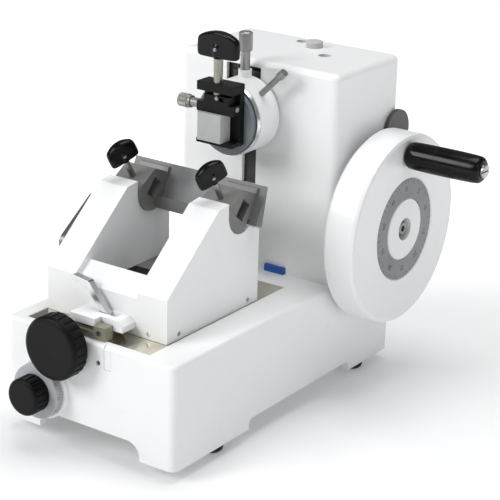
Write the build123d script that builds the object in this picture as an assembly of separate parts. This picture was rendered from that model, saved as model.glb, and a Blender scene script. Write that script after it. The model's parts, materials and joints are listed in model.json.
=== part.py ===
from build123d import *
import os
from math import cos, sin, radians, degrees, atan2, hypot, pi

os.makedirs("parts", exist_ok=True)

# A hand-driven rotary microtome, in millimetres.  Everything is drawn from the
# front left corner of the base, at the foot of its legs: +X to the handwheel,
# +Y to the rear, +Z up.  The last lines move it to the middle of its footprint.

# Clearances
slide_gap = 0.3          # between faces that slide past each other
run_gap = 0.05           # radial, for a shaft that turns in its bore
loose = 0.5              # around a part that only passes through

# Base casting
base_w = 200.0
base_d = 368.0
deck_z = 103.0
base_corner_r = 8.0
base_edge_r = 4.0
base_wall = 9.0
deck_t = 12.0
leg_w = 40.0
arch_h = 17.0
arch_r = 14.0
side_arch = (115.0, base_d - 78.0)
side_arch_h = 10.5
side_arch_r = 6.0
foot_r = 12.5
foot_h = 12.0
foot_inset = 19.0
foot_y = (80.0, base_d - 43.0)
foot_stud_r = 4.0
foot_stud_h = 14.0
foot_boss_r = 15.0

# Bed plate, dovetail rail and its stop
bed_x = (18.0, 164.0)
bed_y = (9.5, 222.0)
bed_recess = 3.0
bed_t = 2.4
rail_x = 91.0
rail_top_w = 46.0
rail_foot_w = 34.0
rail_y = (18.0, 220.0)
rail_h = 10.6
stop_w = 46.5
stop_y = 6.5
stop_h = 7.0
lug_w = 13.5
lug_h = 13.0
m5_r = 2.5
m5_head_r = 4.25
m5_head_h = 4.0
key_x = (119.0, 126.5)
key_h = 23.0
key_t = 5.0
key_gap = 0.4

# Housing cover, and the head's axis and stroke
house_d = 116.2
house_x = (10.0, base_w - 3.0)
house_y = base_d - house_d
house_top = 316.0
head_x = 96.5
head_z = house_top - 52.0
stroke = 60.0
house_wall = 4.0
house_corner_r = 8.0
house_edge_r = 7.0
slot_w = 16.5
slot_bottom = head_z - stroke - 15.0
window_x = (67.0, 108.0)
window_z = (head_z - 36.0, house_top - 6.5)
oil_hole_r = 6.5
oil_holes = ((91.5, base_d - 19.0), (142.0, base_d - 55.0))
cap_xy = (114.6, base_d - 32.0)
cap_r = 8.5
cap_h = 6.5
tab_x = (121.0, 144.0)
tab_t = 3.8
tab_h = 7.0

# Handwheel, its shaft and its handle
wheel_y = base_d - 50.0
wheel_z = 154.7
wheel_r = 96.3
wheel_t = 36.0
wheel_gap = 8.0
wheel_edge_r = 4.0
wheel_dish = 16.0
dish_r = (30.0, 74.0)
dish_draft = 4.0
dial_r = (31.7, 51.4)
dial_depth = 1.6
dial_t = 1.0
hub_hole_r = 11.5
hub_hole_depth = 9.0
shaft_r = 8.0
grip_crank = 77.3
grip_r = 13.5
grip_l = 81.4
spindle_r = 5.0
spindle_head_r = 7.0
spindle_head_h = 3.0

# Wheel lock lever on the housing's right side
lock_pivot = (wheel_y + 34.0, wheel_z + 41.3)
lock_pad = (wheel_y + 43.0, wheel_z + 84.8)
lock_pad_r = 21.5
lock_arm_w = 18.0
lock_t = 4.0
lock_stud_r = 5.0

# Crank drive inside the housing
crank_r = 30.0
crank_x = 139.0
crank_t = 8.0
crank_rim = 10.0
pin_r = 6.0
slider_w = 22.0
slider_t = 10.0
bearing_w = 10.0
bearing_r = 16.0
bearing_x = (152.0, 178.0)
pedestal_half = 34.0
pedestal_foot_t = 9.0
pedestal_web_half = 26.0

# Guide column and the vertical carriage
post_gap = 40.0
post_w = 12.0
post_y = (house_y + 7.7, house_y + 23.7)
column_flange_t = 7.0
column_top = house_top - 10.0
column_cap_t = 5.0
column_foot_rear = 4.0
carriage_z = (head_z - 92.0, head_z + 40.0)
flange_lap = 8.0
carriage_front_t = 3.0
carriage_back_t = 5.0
ram_w = 14.0
ram_h = 28.0
yoke_t = 11.0
yoke_wall = 6.0
yoke_end_t = 3.5

# Feed: ram, nut, screw and ratchet wheel
feed_travel = 20.0
nut_t = 12.0
nut_w = 26.0
screw_r = 5.0
screw_y = (house_y + 50.2, house_y + 106.2)
bracket_y = house_y + 92.2
bracket_t = 6.0
ratchet_r = 20.0
ratchet_t = 4.0
ratchet_teeth = 40

# Coarse feed knob, at the front
coarse_x = 74.0
coarse_z = 95.0
coarse_r = 31.0
coarse_y = (-23.5, -5.5)
coarse_hub_r = 10.0
coarse_ribs = 24
coarse_shaft_r = 3.5
coarse_boss_r = 9.0
coarse_bosses = ((0.0, 40.0), (132.0, 150.0))
coarse_tail = 5.0

# Section thickness knob, below it
thick_x = 47.0
thick_z = 42.0
thick_knob_r = 18.2
thick_knob_y = (-32.0, -14.0)
thick_ribs = 18
drum_r = 26.8
drum_y = (-14.0, -5.3)
index_r = 29.5
index_t = 5.0
thick_shaft_r = 5.0
thick_boss_r = 12.0
thick_boss_l = 22.0
cam_r = 13.0
cam_t = 7.0
cam_offset = 4.0

# Specimen head
barrel_r = 37.2
barrel_y = (house_y - 34.6, house_y - 1.8)
disc_r = 34.0
disc_y = (house_y - 42.3, house_y - 36.9)
trunnion_r = 9.5
trunnion_l = 20.0
trunnion_y = house_y - 23.8
neck_r = 5.5
neck_gap = 1.0            # room for the neck when the disc tilts
tail_r = 3.5
tail_end = house_y - 7.3
cavity_r = 9.0
bevel_y = house_y - 38.2
tilt_screw_y = house_y - 10.3
tilt_boss_r = 6.6
tilt_boss_top = head_z + 44.5
tilt_stem_r = 5.0
tilt_stem_top = head_z + 63.0
tilt_head_r = 6.8
tilt_head_h = 19.0
tilt_tip_r = 3.0
lock_y = house_y - 19.8
lock_angle = 44.5
lock_shank_r = 3.0
lock_reach = (17.5, 74.0)
lock_tip_r = 4.0
lock_tip_l = 8.0

# Specimen clamp on the disc
clamp_x = 98.0
clamp_w = 42.5
clamp_y = house_y - 61.8
clamp_z = (head_z - 20.6, head_z + 40.2)
clamp_back_t = 6.5
clamp_top_t = 8.8
clamp_foot_t = 4.0
jaw_bottom = head_z + 11.0
jaw_h = 9.5
jaw_neck_w = 25.0
jaw_neck_h = 8.0
block_w = 28.0
block_left = 4.0
block_d = 12.0
block_out = 4.5           # how far it stands in front of the clamp
clamp_spindle_r = 4.5
clamp_spindle_y = clamp_y + 6.0
clamp_knob_z = head_z + 64.0
clamp_knob_w = 48.0
clamp_knob_h = 27.0
clamp_knob_t = 12.0
side_z = jaw_bottom + 4.7
side_y = clamp_y + 7.2
side_x = 51.0
side_r = 6.8
side_head_l = 15.0
side_stem_r = 3.0

# Knife base casting
knife_x = (19.5, 162.0)
cheek_w = 34.5
knife_y = (37.0, clamp_y - 12.0)
cheek_knee_z = 146.0
cradle_y = clamp_y - 41.0
cheek_top_y = cradle_y - 36.0
cheek_top_z = 211.0
cradle_z = 199.0
holder_r = 20.0
cradle_lip_z = 213.0
heel_z = 176.0
bridge_z = 128.0
lip_y = 57.0
lip_z = 155.0
lip_front_z = 139.0
cheek_wall = 7.0
knife_travel = 12.0

# Clamp tongue and the bent lever
tongue_x = (70.0, 125.0)
tongue_y = 10.0
tongue_step_x = 100.0
tongue_z = (110.5, 121.0)
tongue_chamfer = 5.0
lever_slot_x = (91.0, 112.0)
lever_slot_y = (26.0, 34.5)
lever_slot_z = 115.0
lever_pivot = (97.5, 119.2)
lever_hub_r = 3.7
lever_w = 6.0
lever_knee = (77.0, 144.5)
lever_tip = (60.0, 147.0)
lever_pin_r = 1.5

# Knife holder
edge_y = clamp_y - 11.0
edge_z = 219.0
face_angle = 62.0
knife_angle = 16.0
knife_h = 39.0
blade_x = (11.5, 170.0)
plate_t = 3.0
plate_drop = 3.0
plate_h = 31.0
window_w = 12.5
window_l = 18.5
window_angle = 50.0
window_at = (cradle_y + 2.4, 201.2)
segment_x = (20.0, 56.0)
segment_slope = 32.0
segment_flat = (cradle_y + 1.0, 218.7)
wing_inset = 18.5
wing_seat = 10.9
wing_stem_r = 3.0
wing_stem_in = 5.0
wing_stem_l = 29.0
wing_w = 30.0
wing_h = 22.0
wing_t = 9.0
wing_turn = 63.0

# Tilt lock lever outside the left cheek
tilt_lever_x = (12.0, 17.0)
tilt_lever_w = 21.0
tilt_lever_end = (72.0, 159.0)
tilt_pivot_back = 38.0
tilt_pivot_drop = 12.0
tilt_pin_r = 3.0

bed_top = deck_z - bed_recess + bed_t
rail_top = bed_top + rail_h
post_x = (head_x - post_gap / 2, head_x + post_gap / 2)
back_y = (post_y[1] + slide_gap, post_y[1] + slide_gap + carriage_back_t)
front_y = (post_y[0] - slide_gap - carriage_front_t, post_y[0] - slide_gap)
wheel_x = (house_x[1] + wheel_gap, house_x[1] + wheel_gap + wheel_t)
clamp_back = disc_y[0]


def block(x, y, z):
    """A block between two limits on each axis."""
    size = Box(x[1] - x[0], y[1] - y[0], z[1] - z[0], align=(Align.MIN, Align.MIN, Align.MIN))
    return Pos(x[0], y[0], z[0]) * size


def rod(axis, at, radius, span):
    """A round bar along X, Y or Z, with its other two coordinates in at."""
    plane = {
        "x": Plane(origin=(span[0], at[0], at[1]), x_dir=(0, 1, 0), z_dir=(1, 0, 0)),
        "y": Plane(origin=(at[0], span[0], at[1]), x_dir=(1, 0, 0), z_dir=(0, 1, 0)),
        "z": Plane(origin=(at[0], at[1], span[0])),
    }[axis]
    return extrude(plane * Circle(radius), span[1] - span[0])


def along_x(outline, span):
    """An outline drawn in Y and Z, carried from span[0] to span[1] along X."""
    plane = Plane(origin=(span[0], 0, 0), x_dir=(0, 1, 0), z_dir=(1, 0, 0))
    return extrude(plane * outline, span[1] - span[0])


def along_y(outline, span):
    """An outline drawn in X and Z, carried from span[0] to span[1] along Y."""
    plane = Plane(origin=(0, span[1], 0), x_dir=(1, 0, 0), z_dir=(0, -1, 0))
    return extrude(plane * outline, span[1] - span[0])


def turned(axis, at, points):
    """A turned piece: points are (place along the axis, radius)."""
    plane = {
        "x": Plane(origin=(0, at[0], at[1]), x_dir=(1, 0, 0), z_dir=(0, -1, 0)),
        "y": Plane(origin=(at[0], 0, at[1]), x_dir=(0, 1, 0), z_dir=(1, 0, 0)),
        "z": Plane(origin=(at[0], at[1], 0), x_dir=(0, 0, 1), z_dir=(0, 1, 0)),
    }[axis]
    outline = make_face(Polyline(*points, close=True))
    return revolve(plane * outline, Axis(plane.origin, plane.x_dir))


def polygon(points):
    return make_face(Polyline(*points, close=True))


def bar(a, b, width):
    """The outline of a flat bar with round ends from point a to point b."""
    length = hypot(b[0] - a[0], b[1] - a[1])
    turn = degrees(atan2(b[1] - a[1], b[0] - a[0]))
    middle = ((a[0] + b[0]) / 2, (a[1] + b[1]) / 2)
    return Pos(*middle) * Rot(0, 0, turn) * SlotCenterToCenter(length, width)


def base_outline(inset):
    width = base_w - 2 * inset
    depth = base_d - 2 * inset
    return Pos(base_w / 2, base_d / 2) * RectangleRounded(width, depth, max(base_corner_r - inset, 2))


def foot_spots():
    return [(x, y) for x in (foot_inset, base_w - foot_inset) for y in foot_y]


def base_casting():
    """Open-bottomed casting on four legs, with the bed's recess in its deck."""
    outside = extrude(base_outline(0), deck_z)
    outside = fillet(outside.faces().sort_by(Axis.Z)[-1].edges(), base_edge_r)
    body = outside - extrude(base_outline(base_wall), deck_z - deck_t)
    below_deck = block((0, base_w), (0, base_d), (0, deck_z - bed_recess - 1))
    for x, y in foot_spots():
        boss = rod("z", (x, y), foot_boss_r, (0, foot_stud_h + 6))
        body += boss & block((1, base_w - 1), (1, base_d - 1), (0, deck_z / 2))
        body -= rod("z", (x, y), foot_stud_r, (-1, foot_stud_h))
    for start, end in coarse_bosses:
        body += rod("y", (coarse_x, coarse_z), coarse_boss_r, (max(start, 1), end)) & below_deck
    body += rod("y", (thick_x, thick_z), thick_boss_r, (1, thick_boss_l))
    arch_w = base_w - 2 * leg_w
    body -= along_y(Pos(base_w / 2, 0) * RectangleRounded(arch_w, 2 * arch_h, arch_r), (-1, base_d + 1))
    side_w = side_arch[1] - side_arch[0]
    side_middle = (side_arch[0] + side_arch[1]) / 2
    side = Pos(side_middle, 0) * RectangleRounded(side_w, 2 * side_arch_h, side_arch_r)
    body -= along_x(side, (-1, base_w + 1))
    body -= block(bed_x, bed_y, (deck_z - bed_recess, deck_z + 1))
    body -= rod("y", (coarse_x, coarse_z), coarse_shaft_r + run_gap, (-1, coarse_bosses[-1][1] + 1))
    half = coarse_shaft_r + loose
    far_end = coarse_bosses[1][1]
    for relief in ((coarse_bosses[0][1], coarse_bosses[1][0]), (far_end, far_end + coarse_tail + loose)):
        body -= rod("y", (coarse_x, coarse_z), half, relief)
        body -= block((coarse_x - half, coarse_x + half), relief, (deck_z - deck_t - 1, coarse_z))
    body -= rod("y", (thick_x, thick_z), thick_shaft_r + run_gap, (-1, thick_boss_l + 1))
    body -= block(key_slot(), (-1, key_t), (deck_z - key_h - key_gap, deck_z + 1))
    set_x, set_z = base_set_screw_spot()
    body -= rod("y", (set_x, set_z), m5_r, (-1, base_wall + 1))
    for y in rail_screw_y():
        body -= rod("z", (rail_x, y), m5_r, (deck_z - deck_t - 1, deck_z))
    return body


def key_slot():
    return (key_x[0] - key_gap, key_x[1] + key_gap)


def base_set_screw_spot():
    return (key_x[0] - 7.0, deck_z - 18.6)


def rail_screw_y():
    span = rail_y[1] - rail_y[0]
    return [rail_y[0] + span * share for share in (0.2, 0.5, 0.8)]


def rubber_feet():
    feet = []
    for x, y in foot_spots():
        foot = turned("z", (x, y), [
            (-foot_h, 0), (-foot_h, foot_r - 1.5), (-foot_h + 1.5, foot_r),
            (-2.0, foot_r), (0, foot_r - 2.0), (0, foot_stud_r),
            (foot_stud_h - 2, foot_stud_r), (foot_stud_h - 2, 0)])
        feet.append(foot)
    return Compound(children=feet)


def bed_plate():
    """Ground steel plate let into the deck, a little below its surface."""
    floor = deck_z - bed_recess
    side = slide_gap / 2
    x = (bed_x[0] + side, bed_x[1] - side)
    y = (bed_y[0] + side, bed_y[1] - side)
    plate = block(x, y, (floor, bed_top))
    for place in rail_screw_y():
        plate -= rod("z", (rail_x, place), m5_r, (floor - 1, bed_top + 1))
    return plate


def dovetail(gap):
    """The dovetail's outline in X and Z, grown by a gap for its groove."""
    slope = (rail_top_w - rail_foot_w) / 2 / rail_h
    top = rail_top_w / 2 + gap
    foot = rail_foot_w / 2 + gap - slope * gap
    outline = polygon([
        (rail_x - foot, bed_top - gap), (rail_x + foot, bed_top - gap),
        (rail_x + top, rail_top), (rail_x - top, rail_top)])
    if gap:
        outline += Pos(rail_x, rail_top + gap / 2) * Rectangle(2 * top, gap)
    return outline


def dovetail_rail():
    rail = along_y(dovetail(0), rail_y)
    for y in rail_screw_y():
        rail -= rod("z", (rail_x, y), m5_r, (bed_top - 1, rail_top + 1))
        rail -= rod("z", (rail_x, y), m5_head_r, (rail_top - m5_head_h - 0.5, rail_top + 1))
    return rail


def stop_screw_spot():
    return (rail_x + stop_w / 2 - lug_w / 2, deck_z + stop_h)


def rail_stop():
    """Stop bar screwed to the rail's front end, with a lug at its right."""
    left = rail_x - rail_top_w / 2
    right = left + stop_w
    stop = block((left, right), (stop_y, rail_y[0]), (deck_z, deck_z + stop_h))
    stop += block((right - lug_w, right), (stop_y, rail_y[0]), (deck_z, deck_z + lug_h))
    x, z = stop_screw_spot()
    return stop - rod("y", (x, z), m5_r, (stop_y - 1, rail_y[0] + 1))


def socket_screw(length):
    """A cap screw that stands on its shank's end, with its head on top."""
    shank = turned("z", (0, 0), [
        (0, 0), (0, m5_r), (length, m5_r), (length, m5_head_r),
        (length + m5_head_h - 0.5, m5_head_r), (length + m5_head_h, m5_head_r - 0.5),
        (length + m5_head_h, 0)])
    return shank - extrude(Pos(0, 0, length + m5_head_h - 2) * RegularPolygon(m5_r, 6), 3)


def base_screws():
    """Three rail screws, the stop's screw and the front set screw."""
    head_z = rail_top - m5_head_h - 0.5
    length = head_z - (deck_z - deck_t) - 2
    screws = [Pos(rail_x, y, head_z - length) * socket_screw(length) for y in rail_screw_y()]
    x, z = stop_screw_spot()
    shank = rail_y[0] - stop_y - 1.5
    stop_screw = rod("y", (x, z), m5_r, (stop_y - 0.6, stop_y + shank))
    stop_screw -= rod("y", (x, z), m5_r * 0.6, (stop_y - 1, stop_y + 1))
    set_x, set_z = base_set_screw_spot()
    set_screw = rod("y", (set_x, set_z), m5_r, (1.2, base_wall))
    set_screw -= rod("y", (set_x, set_z), m5_r * 0.55, (1, 3.5))
    return Compound(children=screws + [stop_screw, set_screw])


def front_key():
    """Flush key strip in the notch at the top of the front wall."""
    edge = base_edge_r
    profile = polygon([
        (key_t, deck_z - key_h), (key_t, deck_z), (edge, deck_z), (0.2, deck_z - edge + 0.2),
        (0.2, deck_z - key_h)])
    return along_x(profile, key_x)


def housing_cover():
    """Tall shell over the drive, open below, with the head's slot in front."""
    width = house_x[1] - house_x[0]
    depth = base_d - house_y
    middle = Pos((house_x[0] + house_x[1]) / 2, (house_y + base_d) / 2, deck_z)
    shell = middle * extrude(RectangleRounded(width, depth, house_corner_r), house_top - deck_z)
    shell = fillet(shell.faces().sort_by(Axis.Z)[-1].edges(), house_edge_r)
    wall = house_wall
    inner = RectangleRounded(width - 2 * wall, depth - 2 * wall, house_corner_r - wall)
    shell -= middle * extrude(inner, house_top - deck_z - wall)
    slot_x = (head_x - slot_w / 2, head_x + slot_w / 2)
    cut_y = (house_y - 1, house_y + wall + 1)
    shell -= block(slot_x, cut_y, (slot_bottom, window_z[0] + 1))
    shell -= block(window_x, cut_y, window_z)
    for spot in oil_holes:
        shell -= rod("z", spot, oil_hole_r, (house_top - wall - 1, house_top + 1))
    shell -= rod("z", cap_xy, cap_r - 2.5, (house_top - wall - 1, house_top + 1))
    shell -= rod("x", (wheel_y, wheel_z), shaft_r + 4, (house_x[1] - wall - 1, house_x[1] + 1))
    shell -= rod("x", lock_pivot, lock_stud_r, (house_x[1] - wall - 1, house_x[1] + 1))
    return shell


def seam_tab():
    return block(tab_x, (house_y - tab_t, house_y), (deck_z, deck_z + tab_h))


def oil_cap():
    neck = cap_r - 2.5
    return turned("z", cap_xy, [
        (house_top - house_wall - 2, 0), (house_top - house_wall - 2, neck - 0.5),
        (house_top - house_wall - 1, neck), (house_top, neck), (house_top, cap_r),
        (house_top + cap_h - 1, cap_r), (house_top + cap_h, cap_r - 1), (house_top + cap_h, 0)])


def guide_column():
    """Two upright guide posts on one foot, tied by a cap at the top."""
    left = (post_x[0] - post_w, post_x[0])
    right = (post_x[1], post_x[1] + post_w)
    spread = (left[0] - 8, right[1] + 4)
    foot_y_span = (post_y[0], post_y[1] + column_foot_rear)
    column = block(spread, foot_y_span, (deck_z, deck_z + column_flange_t))
    for x in (left, right):
        column += block(x, post_y, (deck_z, column_top))
    column += block((left[0], right[1]), post_y, (column_top, column_top + column_cap_t))
    return column


def bearing_pedestal():
    """Cast bracket that carries the main shaft's two bearings."""
    seat_x = (bearing_x[0] - 2, bearing_x[1] + bearing_w + 2)
    foot_top = deck_z + pedestal_foot_t
    foot = block(seat_x, (wheel_y - pedestal_half, wheel_y + pedestal_half), (deck_z, foot_top))
    web = polygon([
        (wheel_y - pedestal_web_half, foot_top - 1), (wheel_y + pedestal_web_half, foot_top - 1),
        (wheel_y + bearing_r + 4, wheel_z), (wheel_y - bearing_r - 4, wheel_z)])
    barrel = rod("x", (wheel_y, wheel_z), bearing_r + 6, seat_x)
    body = foot + along_x(web, (seat_x[0] + 6, seat_x[1] - 6)) + barrel
    body -= rod("x", (wheel_y, wheel_z), shaft_r + 4, (seat_x[0] - 1, seat_x[1] + 1))
    for x in bearing_x:
        outward = (x - 3, x + bearing_w) if x == bearing_x[0] else (x, x + bearing_w + 3)
        body -= rod("x", (wheel_y, wheel_z), bearing_r, outward)
    return body


def shaft_bearings():
    """Two ball bearings, drawn as closed rings."""
    rings = []
    for x in bearing_x:
        ring = rod("x", (wheel_y, wheel_z), bearing_r, (x, x + bearing_w))
        rings.append(ring - rod("x", (wheel_y, wheel_z), shaft_r + run_gap, (x - 1, x + bearing_w + 1)))
    return Compound(children=rings)


def index_ring():
    ring = turned("y", (thick_x, thick_z), [
        (-index_t, thick_boss_r), (-index_t, index_r - 1.2), (-index_t + 1.2, index_r), (0, index_r),
        (0, thick_boss_r)])
    return ring


def lock_stud():
    """Shouldered stud in the housing's side that the lock lever turns on."""
    wall = house_x[1]
    head = wall + 1 + lock_t + slide_gap
    return turned("x", lock_pivot, [
        (wall - house_wall - 3, 0), (wall - house_wall - 3, lock_stud_r + 3),
        (wall - house_wall, lock_stud_r + 3), (wall - house_wall, lock_stud_r),
        (head, lock_stud_r), (head, lock_stud_r + 2), (head + 1, lock_stud_r + 2), (head + 1, 0)])


def handwheel():
    """Heavy wheel with a flat face, a sunk ring for the dial and a dished back."""
    back, face = wheel_x
    body = turned("x", (wheel_y, wheel_z), [
        (back, shaft_r), (back, dish_r[0] - dish_draft), (back + wheel_dish, dish_r[0]),
        (back + wheel_dish, dish_r[1]), (back, dish_r[1] + dish_draft), (back, wheel_r - wheel_edge_r), (back + wheel_edge_r, wheel_r),
        (face - wheel_edge_r, wheel_r), (face - 1.2, wheel_r - 1.2), (face, wheel_r - wheel_edge_r),
        (face, dial_r[1] + 1.2), (face - dial_depth, dial_r[1]), (face - dial_depth, dial_r[0]),
        (face, dial_r[0] - 1.2), (face, hub_hole_r), (face - hub_hole_depth, hub_hole_r),
        (face - hub_hole_depth, shaft_r)])
    grip_z = wheel_z + grip_crank
    return body - rod("x", (wheel_y, grip_z), spindle_r, (face - 20, face + 1))


def wheel_dial():
    face = wheel_x[1]
    low = face - dial_depth
    return turned("x", (wheel_y, wheel_z), [
        (low, dial_r[0] + 0.2), (low + dial_t, dial_r[0] + 0.2),
        (low + dial_t, dial_r[1] - 0.2), (low, dial_r[1] - 0.2)])


def hub_screw():
    """Shaft-end screw and washer at the bottom of the hub's counterbore."""
    floor = wheel_x[1] - hub_hole_depth
    screw = turned("x", (wheel_y, wheel_z), [
        (floor, 0), (floor, hub_hole_r - 0.6), (floor + 1.6, hub_hole_r - 0.6), (floor + 1.6, 6.5),
        (floor + 6, 6.5), (floor + 6.8, 5.7), (floor + 6.8, 0)])
    socket = Plane(origin=(floor + 3.5, wheel_y, wheel_z), x_dir=(0, 1, 0), z_dir=(1, 0, 0))
    return screw - extrude(socket * RegularPolygon(3.6, 6), 5)


def main_shaft():
    span = (crank_x + 1, wheel_x[1] - hub_hole_depth)
    return rod("x", (wheel_y, wheel_z), shaft_r, span)


def crank_disc():
    """Disc on the shaft's end, with the crank pin towards the yoke."""
    disc = rod("x", (wheel_y, wheel_z), crank_r + crank_rim, (crank_x, crank_x + crank_t))
    disc -= rod("x", (wheel_y, wheel_z), shaft_r, (crank_x + 1, crank_x + crank_t + 1))
    return disc + rod("x", (wheel_y, wheel_z + crank_r), pin_r, (crank_x - slider_t, crank_x + 1))


def slider_block():
    """Bronze block that turns on the crank pin and fits the yoke's slot."""
    half = slider_w / 2
    centre = (wheel_y, wheel_z + crank_r)
    x = (crank_x - slider_t, crank_x - slide_gap)
    body = block(x, (centre[0] - half, centre[0] + half), (centre[1] - half, centre[1] + half))
    body = chamfer(body.edges().filter_by(Axis.X), 2.5)
    return body - rod("x", centre, pin_r + run_gap, (x[0] - 1, x[1] + 1))


def handle_spindle():
    """Shoulder screw in the wheel that the grip turns on, slotted at its end."""
    face = wheel_x[1]
    end = face + slide_gap + grip_l + slide_gap
    body = turned("x", (wheel_y, wheel_z + grip_crank), [
        (face - 20, 0), (face - 20, spindle_r), (end, spindle_r), (end, spindle_head_r),
        (end + spindle_head_h - 1, spindle_head_r), (end + spindle_head_h, spindle_head_r - 1),
        (end + spindle_head_h, 0)])
    slot = block((end + spindle_head_h - 1.5, end + spindle_head_h + 1),
                 (wheel_y - spindle_head_r, wheel_y + spindle_head_r),
                 (wheel_z + grip_crank - 0.8, wheel_z + grip_crank + 0.8))
    return body - slot


def handle_grip():
    start = wheel_x[1] + slide_gap
    end = start + grip_l
    bore = spindle_r + run_gap
    return turned("x", (wheel_y, wheel_z + grip_crank), [
        (start, bore), (start, grip_r - 2.5), (start + 2.5, grip_r), (start + grip_l * 0.5, grip_r + 0.6),
        (end - 4, grip_r), (end - 1.2, grip_r - 1.2), (end, grip_r - 4), (end, bore)])


def wheel_lock_lever():
    """Flat lever between housing and wheel, with a broad thumb pad above."""
    wall = house_x[1] + 1
    outline = bar(lock_pivot, lock_pad, lock_arm_w) + Pos(*lock_pad) * Circle(lock_pad_r)
    lever = along_x(outline, (wall, wall + lock_t))
    return lever - rod("x", lock_pivot, lock_stud_r + run_gap, (wall - 1, wall + lock_t + 1))


def ram_section(gap):
    half_w = ram_w / 2 + gap
    half_h = ram_h / 2 + gap
    return Pos(head_x, head_z) * Rectangle(2 * half_w, 2 * half_h)


def vertical_carriage():
    """Carriage between the posts, with the ram's guide and the screw's bracket."""
    x = (post_x[0] + slide_gap, post_x[1] - slide_gap)
    body = block(x, (front_y[0], back_y[1]), carriage_z)
    wide = (post_x[0] - flange_lap, post_x[1] + flange_lap)
    body += block(wide, back_y, carriage_z)
    arm_z = (head_z - 7, head_z + 7)
    for side in (-1, 1):
        inner = head_x + side * (nut_w / 2 + 3)
        outer = head_x + side * (nut_w / 2 + 9)
        body += block((min(inner, outer), max(inner, outer)), (back_y[1], bracket_y + bracket_t), arm_z)
    half = nut_w / 2 + 9
    plate = block((head_x - half, head_x + half), (bracket_y, bracket_y + bracket_t), arm_z)
    body += plate + rod("y", (head_x, head_z), screw_r + 5, (bracket_y, bracket_y + bracket_t))
    body -= rod("y", (head_x, head_z), screw_r + run_gap, (bracket_y - 1, bracket_y + bracket_t + 1))
    return body - along_y(ram_section(run_gap), (front_y[0] - 1, back_y[1] + 1))


def gib_strips():
    """Two bronze strips on the carriage's front that run on the posts."""
    strips = []
    lap = flange_lap - 3
    for x in ((post_x[0] - lap, post_x[0] + slide_gap), (post_x[1] - slide_gap, post_x[1] + lap)):
        strips.append(block(x, front_y, (carriage_z[0] + 10, carriage_z[1] - 2)))
    return Compound(children=strips)


def yoke_plate():
    """Slotted fork on the carriage that the slider block drives."""
    reach = crank_r + slider_w / 2 + loose
    pin_z = wheel_z + crank_r
    half = slider_w / 2 + slide_gap
    x = (crank_x - slider_t - loose - yoke_t, crank_x - slider_t - loose)
    end = wheel_y + reach + yoke_end_t
    fork = block(x, (back_y[1], end), (pin_z - half - yoke_wall, pin_z + half + yoke_wall))
    return fork - block((x[0] - 1, x[1] + 1), (back_y[1] - 1, wheel_y + reach), (pin_z - half, pin_z + half))


def ram_end():
    return bracket_y - loose - nut_t - 1


def feed_ram():
    """Square ram that carries the head, bored from the rear for its screw."""
    body = along_y(ram_section(0), (barrel_y[1], ram_end()))
    return body - rod("y", (head_x, head_z), screw_r + loose, (screw_y[0] - feed_travel - 2, ram_end() + 1))


def feed_nut():
    span = (ram_end(), ram_end() + nut_t)
    nut = along_y(Pos(head_x, head_z) * RegularPolygon(nut_w / 2, 6), span)
    return nut - rod("y", (head_x, head_z), screw_r + run_gap, (span[0] - 1, span[1] + 1))


def feed_screw():
    """Feed spindle that turns in the bracket and carries the ratchet wheel."""
    front, rear = screw_y
    return turned("y", (head_x, head_z), [
        (front, 0), (front, screw_r - 1), (front + 1, screw_r), (rear, screw_r), (rear, 0)])


def ratchet_wheel():
    """Fine-toothed wheel, one saw tooth for each step of the feed."""
    start = bracket_y + bracket_t + slide_gap
    pitch = 2 * pi / ratchet_teeth
    points = []
    for tooth in range(ratchet_teeth):
        angle = tooth * pitch
        points.append((ratchet_r * cos(angle), ratchet_r * sin(angle)))
        root = ratchet_r - 2
        points.append((root * cos(angle + pitch * 0.12), root * sin(angle + pitch * 0.12)))
    wheel = along_y(Pos(head_x, head_z) * polygon(points), (start, start + ratchet_t))
    return wheel - rod("y", (head_x, head_z), screw_r, (start - 1, start + ratchet_t + 1))


def ribbed_knob(at, radius, span, ribs, hub, bore):
    """A moulded knob: a slightly crowned face and broad ribs around its rim."""
    face, back = span
    points = [
        (face, 0), (face, radius - 5), (face + 0.6, radius - 2.2), (face + 2, radius - 0.6),
        (face + 3.5, radius), (back - 1, radius), (back, radius - 1)]
    if hub:
        points += [(back, hub), (-0.4, hub), (-0.4, 0)]
    else:
        points += [(back, 0)]
    knob = turned("y", at, points)
    groove = 0.9
    width = 2 * pi * radius / ribs * 0.4
    for step in range(ribs):
        cutter = block((-width / 2, width / 2), (face + 5, back + 1), (radius - groove, radius + 2))
        knob -= Pos(at[0], 0, at[1]) * Rot(0, 360 / ribs * step, 0) * cutter
    return knob - rod("y", at, bore, (face + 8, 0))


def coarse_knob():
    at = (coarse_x, coarse_z)
    return ribbed_knob(at, coarse_r, coarse_y, coarse_ribs, coarse_hub_r, coarse_shaft_r)


def coarse_shaft():
    """Shaft from the coarse knob, carried by the two bosses under the deck."""
    return rod("y", (coarse_x, coarse_z), coarse_shaft_r, (coarse_y[0] + 8, coarse_bosses[-1][1] + coarse_tail))


def thickness_knob():
    at = (thick_x, thick_z)
    return ribbed_knob(at, thick_knob_r, thick_knob_y, thick_ribs, 0, thick_shaft_r)


def thickness_drum():
    front, back = drum_y
    drum = turned("y", (thick_x, thick_z), [
        (front, thick_shaft_r), (front, drum_r - 0.8), (front + 0.8, drum_r), (back, drum_r),
        (back, thick_shaft_r)])
    return drum


def thickness_shaft():
    """Shaft with the cam that sets how far the pawl may swing."""
    end = thick_boss_l + slide_gap + cam_t
    shaft = rod("y", (thick_x, thick_z), thick_shaft_r, (thick_knob_y[0] + 8, end))
    cam = rod("y", (thick_x + cam_offset, thick_z), cam_r, (thick_boss_l + slide_gap, end))
    return shaft + cam


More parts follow.
